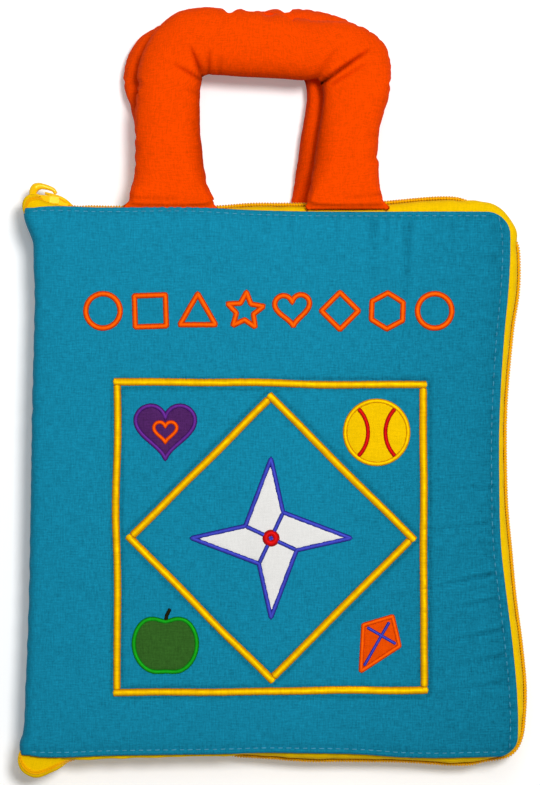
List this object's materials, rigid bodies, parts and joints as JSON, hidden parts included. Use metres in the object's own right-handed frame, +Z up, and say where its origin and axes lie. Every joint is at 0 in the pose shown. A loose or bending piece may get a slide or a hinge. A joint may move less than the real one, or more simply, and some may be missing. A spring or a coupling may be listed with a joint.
{
  "type": "quiet book",
  "caption": "Closed padded cloth activity book with a zip round three sides, sewn leaves, stuffed handles, stitched borders and motif patches, a pointer dial and counting beads on a cord.",
  "frame": {"origin": "middle of the back cover's flat underside, on the surface that the closed book lies on", "axes": "+Z up through the closed book to the front cover, +Y towards the handles, spine at -X"},
  "size_m": [0.2309, 0.3506, 0.0356],
  "materials": {
    "teal_cotton": "woven cotton",
    "orange_cotton": "woven cotton",
    "white_cotton": "woven cotton",
    "cream_cotton": "woven cotton",
    "green_cotton": "woven cotton",
    "purple_cotton": "woven cotton",
    "yellow_cotton": "woven tape",
    "yellow_satin": "satin stitch",
    "wadding": "loose fibre",
    "zip_nylon": "moulded coil",
    "zip_enamel": "enamel",
    "red_plastic": "gloss"
  },
  "bodies": {
    "back_cover": {"back_cover_fabric": "teal_cotton", "back_cover_wadding": "wadding", "back_cover_lining": "white_cotton", "zip_tape_back": "yellow_cotton", "zip_coil_back": "zip_nylon"},
    "spine": {"spine_fabric": "teal_cotton", "spine_wadding": "wadding", "spine_lining": "white_cotton", "leaf_binding_strip": "teal_cotton"},
    "front_cover": {"front_cover_fabric": "teal_cotton", "front_cover_wadding": "wadding", "front_cover_lining": "white_cotton", "zip_tape_front": "yellow_cotton", "zip_coil_front": "zip_nylon", "cover_square_border": "yellow_satin", "cover_diamond_border": "yellow_satin", "pinwheel_patch": "white_cotton", "heart_patch": "purple_cotton", "ball_patch": "yellow_cotton", "apple_patch": "green_cotton", "kite_patch": "orange_cotton"},
    "leaf_1": {"leaf_1_front_page": "cream_cotton", "leaf_1_wadding": "wadding", "leaf_1_back_page": "cream_cotton", "leaf_1_hinge_tape": "teal_cotton", "dial_patch": "yellow_cotton", "pointer_stud": "red_plastic"},
    "leaf_2": {"leaf_2_front_page": "green_cotton", "leaf_2_wadding": "wadding", "leaf_2_back_page": "green_cotton", "leaf_2_hinge_tape": "teal_cotton"},
    "leaf_3": {"leaf_3_front_page": "white_cotton", "leaf_3_wadding": "wadding", "leaf_3_back_page": "white_cotton", "leaf_3_hinge_tape": "teal_cotton", "counting_cord": "yellow_cotton", "cord_tab_left": "teal_cotton", "cord_tab_right": "teal_cotton"},
    "leaf_4": {"leaf_4_front_page": "purple_cotton", "leaf_4_wadding": "wadding", "leaf_4_back_page": "purple_cotton", "leaf_4_hinge_tape": "teal_cotton"},
    "pointer": {"dial_pointer": "red_plastic"},
    "bead_1": {"counting_bead_1": "red_plastic"},
    "bead_2": {"counting_bead_2": "red_plastic"},
    "bead_3": {"counting_bead_3": "red_plastic"},
    "bead_4": {"counting_bead_4": "red_plastic"},
    "bead_5": {"counting_bead_5": "red_plastic"},
    "zip_slider": {"zip_slider_body": "zip_enamel"},
    "zip_pull": {"zip_pull_tab": "zip_enamel"},
    "front_handle": {"front_handle_fabric": "orange_cotton", "front_handle_stuffing": "wadding"},
    "back_handle": {"back_handle_fabric": "orange_cotton", "back_handle_stuffing": "wadding"}
  },
  "joints": [
    {"name": "spine_hinge", "type": "hinge", "parent": "back_cover", "child": "spine", "pos_m": [-0.113, 0, 0], "axis": [0, -1, 0], "range_deg": [0, 90]},
    {"name": "cover_hinge", "type": "hinge", "parent": "spine", "child": "front_cover", "pos_m": [-0.113, 0, 0.0343], "axis": [0, -1, 0], "range_deg": [0, 90], "deforming": ["zip_tape_front", "zip_coil_front"]},
    {"name": "leaf_1_turn", "type": "hinge", "parent": "spine", "child": "leaf_1", "pos_m": [-0.10565, 0, 0.02375], "axis": [0, -1, 0], "range_deg": [0, 60.5]},
    {"name": "leaf_2_turn", "type": "hinge", "parent": "spine", "child": "leaf_2", "pos_m": [-0.10565, 0, 0.0189], "axis": [0, -1, 0], "range_deg": [0, 30.5]},
    {"name": "leaf_3_turn", "type": "hinge", "parent": "spine", "child": "leaf_3", "pos_m": [-0.10565, 0, 0.0125], "axis": [0, -1, 0], "range_deg": [-30.5, 0]},
    {"name": "leaf_4_turn", "type": "hinge", "parent": "spine", "child": "leaf_4", "pos_m": [-0.10565, 0, 0.00765], "axis": [0, -1, 0], "range_deg": [-60.5, 0]},
    {"name": "pointer_spin", "type": "hinge", "parent": "leaf_1", "child": "pointer", "pos_m": [-0.00413, -0.02, 0.02375], "axis": [0, 0, 1], "continuous": true},
    {"name": "bead_1_slide", "type": "slide", "parent": "leaf_3", "child": "bead_1", "axis": [1, 0, 0], "range_m": [0, 0.009]},
    {"name": "bead_2_slide", "type": "slide", "parent": "leaf_3", "child": "bead_2", "axis": [1, 0, 0], "range_m": [0, 0.009]},
    {"name": "bead_3_slide", "type": "slide", "parent": "leaf_3", "child": "bead_3", "axis": [1, 0, 0], "range_m": [0, 0.009]},
    {"name": "bead_4_slide", "type": "slide", "parent": "leaf_3", "child": "bead_4", "axis": [1, 0, 0], "range_m": [0, 0.009]},
    {"name": "bead_5_slide", "type": "slide", "parent": "leaf_3", "child": "bead_5", "axis": [1, 0, 0], "range_m": [0, 0.009]},
    {"name": "zip_slide", "type": "slide", "parent": "back_cover", "child": "zip_slider", "axis": [1, 0, 0], "range_m": [0, 0.185]},
    {"name": "pull_swing", "type": "hinge", "parent": "zip_slider", "child": "zip_pull", "pos_m": [-0.1005, 0.13241, 0.0166], "axis": [0, 0, -1], "range_deg": [0, 150]},
    {"name": "front_handle_fold", "type": "hinge", "parent": "front_cover", "child": "front_handle", "pos_m": [0, 0.1256, 0.032], "axis": [1, 0, 0], "range_deg": [0, 140]},
    {"name": "back_handle_fold", "type": "hinge", "parent": "back_cover", "child": "back_handle", "pos_m": [0, 0.1256, 0], "axis": [-1, 0, 0], "range_deg": [0, 140]}
  ],
  "couplings": [
    {"joint": "leaf_1_turn", "follows": "cover_hinge", "ratio": 0.6667},
    {"joint": "leaf_2_turn", "follows": "cover_hinge", "ratio": 0.3333},
    {"joint": "leaf_3_turn", "follows": "spine_hinge", "ratio": -0.3333},
    {"joint": "leaf_4_turn", "follows": "spine_hinge", "ratio": -0.6667}
  ]
}
